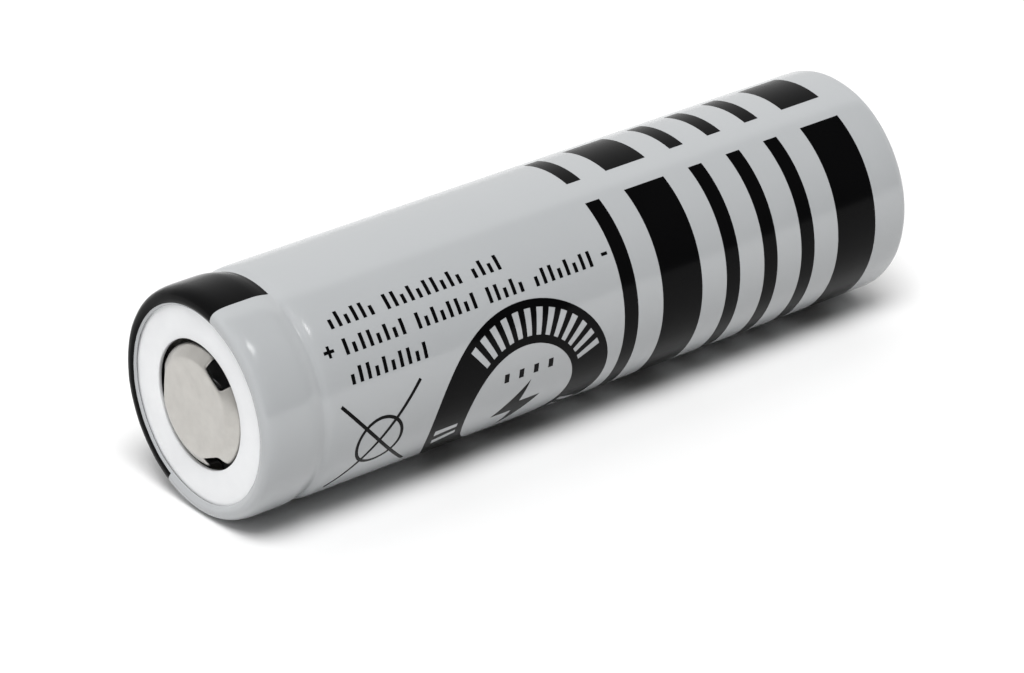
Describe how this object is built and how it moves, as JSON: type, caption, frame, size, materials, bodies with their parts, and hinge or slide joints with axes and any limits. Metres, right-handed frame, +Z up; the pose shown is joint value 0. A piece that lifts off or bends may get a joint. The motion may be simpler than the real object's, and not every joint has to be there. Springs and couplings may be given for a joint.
{
  "type": "cylindrical battery cell",
  "caption": "Rechargeable cylindrical cell: vented positive cap, crimped steel can with wound electrodes inside, flat negative base and printed shrink sleeve.",
  "frame": {"origin": "on the cell's axis, at the middle of its overall length", "axes": "+X along the axis towards the flat negative end, so the raised positive cap points along -X; +Z up as the cell lies on its side; the front of the label faces -Y"},
  "size_m": [0.0492, 0.014, 0.014],
  "materials": {
    "sleeve_film": "satin shrink film, light grey, printed black",
    "sleeve_print": "black ink under the film's gloss",
    "white_insulator": "matt white",
    "nickel_plated_steel": "nickel plated, satin",
    "cap_nickel": "nickel plated, satin, warm grey",
    "ptc_polymer": "matt",
    "aluminium_sheet": "mill finish",
    "gasket_plastic": "matt black polypropylene",
    "separator_film": "matt white porous film",
    "cathode_coating": "matt black oxide coating on foil",
    "anode_coating": "matt graphite coating on copper foil",
    "green_tape": "smooth adhesive tape",
    "amber_tape": "smooth polyimide tape",
    "roll_insulator": "matt",
    "nickel_strip": "plain nickel strip"
  },
  "bodies": {
    "root": {"shrink_sleeve": "sleeve_film", "top_insulator_washer": "white_insulator", "steel_can": "nickel_plated_steel", "positive_cap": "cap_nickel", "ptc_ring": "ptc_polymer", "vent_disc": "aluminium_sheet", "cid_insulator_ring": "gasket_plastic", "cid_plate": "aluminium_sheet", "crimp_gasket": "gasket_plastic", "separator_inner": "separator_film", "cathode_sheet": "cathode_coating", "separator_outer": "separator_film", "anode_sheet": "anode_coating", "closing_tape": "green_tape", "centre_pin": "nickel_plated_steel", "top_roll_insulator": "roll_insulator", "positive_tab": "aluminium_sheet", "positive_tab_tape": "amber_tape", "bottom_roll_insulator": "roll_insulator", "negative_tab": "nickel_strip", "negative_tab_tape": "amber_tape"}
  },
  "joints": []
}
